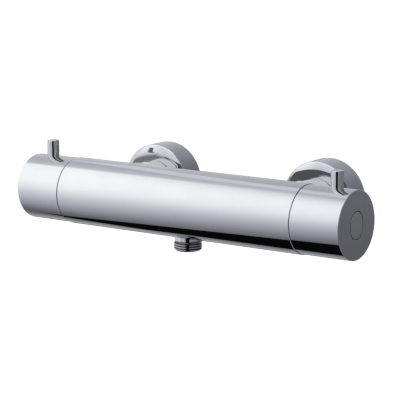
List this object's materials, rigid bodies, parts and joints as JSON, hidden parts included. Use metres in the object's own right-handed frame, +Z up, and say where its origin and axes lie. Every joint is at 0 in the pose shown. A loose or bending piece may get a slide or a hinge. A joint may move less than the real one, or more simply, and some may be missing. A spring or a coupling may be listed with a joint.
{
  "type": "thermostatic shower valve",
  "caption": "Round chromed bar shower valve on two wall inlets, with a thermostat handle, a flow handle and a downward threaded hose outlet.",
  "frame": {"origin": "in the wall plane, midway between the axes of the two wall threads", "axes": "+X along the bar towards the temperature handle, +Y into the wall, +Z up"},
  "size_m": [0.29, 0.1183, 0.0719],
  "materials": {
    "polished_chrome": "mirror-polished chrome plate on brass",
    "bare_brass": "turned, unplated",
    "spring_steel": "stainless, drawn",
    "black_rubber": "moulded, matt",
    "white_plastic": "moulded, satin",
    "black_plastic": "moulded, satin",
    "ceramic": "lapped ceramic, glossy"
  },
  "bodies": {
    "valve": {"valve_body": "polished_chrome", "outlet_nipple": "polished_chrome", "hot_union_nut": "polished_chrome", "cold_union_nut": "polished_chrome", "hot_rosette": "polished_chrome", "cold_rosette": "polished_chrome", "hot_union": "bare_brass", "cold_union": "bare_brass", "cartridge_nut": "bare_brass", "headwork_housing": "bare_brass", "hot_strainer": "spring_steel", "cold_strainer": "spring_steel", "hot_check_spring": "spring_steel", "cold_check_spring": "spring_steel", "shuttle_spring": "spring_steel", "outlet_o_ring": "black_rubber", "hot_washer": "black_rubber", "cold_washer": "black_rubber", "hot_rosette_ring": "black_rubber", "cold_rosette_ring": "black_rubber", "cartridge_o_rings": "black_rubber", "headwork_o_ring": "black_rubber", "headwork_seat": "black_rubber", "hot_check_housing": "white_plastic", "cold_check_housing": "white_plastic", "cartridge_housing": "white_plastic", "stop_ring": "black_plastic", "temperature_glide_ring": "black_plastic", "flow_glide_ring": "black_plastic", "fixed_disc": "ceramic"},
    "temperature_handle": {"regulating_spindle": "bare_brass", "spindle_o_ring": "black_rubber", "spindle_clip": "spring_steel", "temperature_handle_core": "white_plastic", "temperature_handle": "polished_chrome", "temperature_lever_pin": "polished_chrome", "temperature_grub_screw": "spring_steel", "button_spring": "spring_steel"},
    "stop_button": {"stop_button": "polished_chrome"},
    "flow_handle": {"headwork_spindle": "bare_brass", "headwork_spindle_o_ring": "black_rubber", "headwork_clip": "spring_steel", "moving_disc": "ceramic", "flow_handle_core": "white_plastic", "flow_handle": "polished_chrome", "flow_lever_pin": "polished_chrome", "flow_grub_screw": "spring_steel"},
    "shuttle": {"shuttle": "white_plastic", "wax_element": "bare_brass"},
    "regulating_nut": {"regulating_nut": "bare_brass", "overheat_clip": "spring_steel", "overheat_spring": "spring_steel"},
    "overheat_plunger": {"overheat_plunger": "bare_brass"},
    "hot_poppet": {"hot_check_poppet": "black_plastic"},
    "cold_poppet": {"cold_check_poppet": "black_plastic"}
  },
  "joints": [
    {"name": "temperature_handle_turn", "type": "hinge", "parent": "valve", "child": "temperature_handle", "pos_m": [0.12, -0.0808, 0.006], "axis": [1, 0, 0], "range_deg": [-135, 75]},
    {"name": "flow_handle_turn", "type": "hinge", "parent": "valve", "child": "flow_handle", "pos_m": [-0.12, -0.0808, 0.006], "axis": [1, 0, 0], "range_deg": [-90, 0]},
    {"name": "shuttle_slide", "type": "slide", "parent": "valve", "child": "shuttle", "axis": [1, 0, 0], "range_m": [-0.00151, 0.00084], "deforming": ["shuttle_spring"]},
    {"name": "regulating_nut_slide", "type": "slide", "parent": "valve", "child": "regulating_nut", "axis": [1, 0, 0], "range_m": [-0.00151, 0.00084]},
    {"name": "overheat_plunger_slide", "type": "slide", "parent": "regulating_nut", "child": "overheat_plunger", "axis": [1, 0, 0], "range_m": [0, 0.0012], "stiffness_N_per_m": 300, "springref_m": -0.002, "deforming": ["overheat_spring"]},
    {"name": "stop_button_press", "type": "slide", "parent": "temperature_handle", "child": "stop_button", "axis": [-1, 0, 0], "range_m": [0, 0.0025], "stiffness_N_per_m": 400, "springref_m": -0.002, "deforming": ["button_spring"]},
    {"name": "hot_poppet_open", "type": "slide", "parent": "valve", "child": "hot_poppet", "axis": [0, -1, 0], "range_m": [0, 0.004], "stiffness_N_per_m": 30, "springref_m": -0.004, "deforming": ["hot_check_spring"]},
    {"name": "cold_poppet_open", "type": "slide", "parent": "valve", "child": "cold_poppet", "axis": [0, -1, 0], "range_m": [0, 0.004], "stiffness_N_per_m": 30, "springref_m": -0.004, "deforming": ["cold_check_spring"]}
  ],
  "couplings": [
    {"joint": "shuttle_slide", "follows": "temperature_handle_turn", "m_per_rad": 0.00063662},
    {"joint": "regulating_nut_slide", "follows": "temperature_handle_turn", "m_per_rad": 0.00063662}
  ]
}
